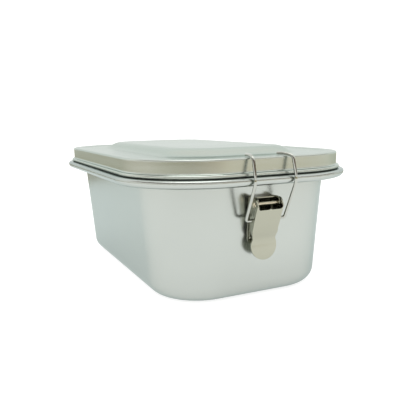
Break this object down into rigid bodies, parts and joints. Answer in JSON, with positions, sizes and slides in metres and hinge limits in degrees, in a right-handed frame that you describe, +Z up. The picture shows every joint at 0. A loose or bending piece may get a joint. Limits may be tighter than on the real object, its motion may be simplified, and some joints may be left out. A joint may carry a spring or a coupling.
{
  "type": "lunch box",
  "caption": "Stainless steel lunch box: rounded deep tub with a rolled rim, pressed lid with a raised middle and seal, and an over-centre wire clip at each end.",
  "frame": {"origin": "middle of the underside, on the surface the box stands on", "axes": "+X along the length towards the right-hand clip, +Y across the width, +Z up"},
  "size_m": [0.2064, 0.1316, 0.0773],
  "materials": {
    "tub_steel": "satin",
    "lid_steel": "satin",
    "silicone": "matt",
    "latch_nickel": "nickel, polished",
    "pin_nickel": "polished",
    "wire": "bright"
  },
  "bodies": {
    "box": {"tub": "tub_steel", "lid": "lid_steel", "gasket": "silicone", "right_bracket": "latch_nickel", "right_pivot_pin": "pin_nickel", "left_bracket": "latch_nickel", "left_pivot_pin": "pin_nickel"},
    "right_lever": {"right_lever": "latch_nickel"},
    "right_bail": {"right_bail": "wire"},
    "left_lever": {"left_lever": "latch_nickel"},
    "left_bail": {"left_bail": "wire"}
  },
  "joints": [
    {"name": "right_lever_hinge", "type": "hinge", "parent": "box", "child": "right_lever", "pos_m": [0.0946, -0.0006, 0.051], "axis": [0, -1, 0], "range_deg": [0, 125]},
    {"name": "right_bail_hinge", "type": "hinge", "parent": "right_lever", "child": "right_bail", "pos_m": [0.093, -0.0006, 0.0427], "axis": [0, -1, 0], "range_deg": [-125, 0]},
    {"name": "left_lever_hinge", "type": "hinge", "parent": "box", "child": "left_lever", "pos_m": [-0.0946, 0.0006, 0.051], "axis": [0, 1, 0], "range_deg": [0, 125]},
    {"name": "left_bail_hinge", "type": "hinge", "parent": "left_lever", "child": "left_bail", "pos_m": [-0.093, 0.0006, 0.0427], "axis": [0, 1, 0], "range_deg": [-125, 0]}
  ],
  "couplings": [
    {"joint": "right_bail_hinge", "follows": "right_lever_hinge", "ratio": -1},
    {"joint": "left_bail_hinge", "follows": "left_lever_hinge", "ratio": -1}
  ]
}
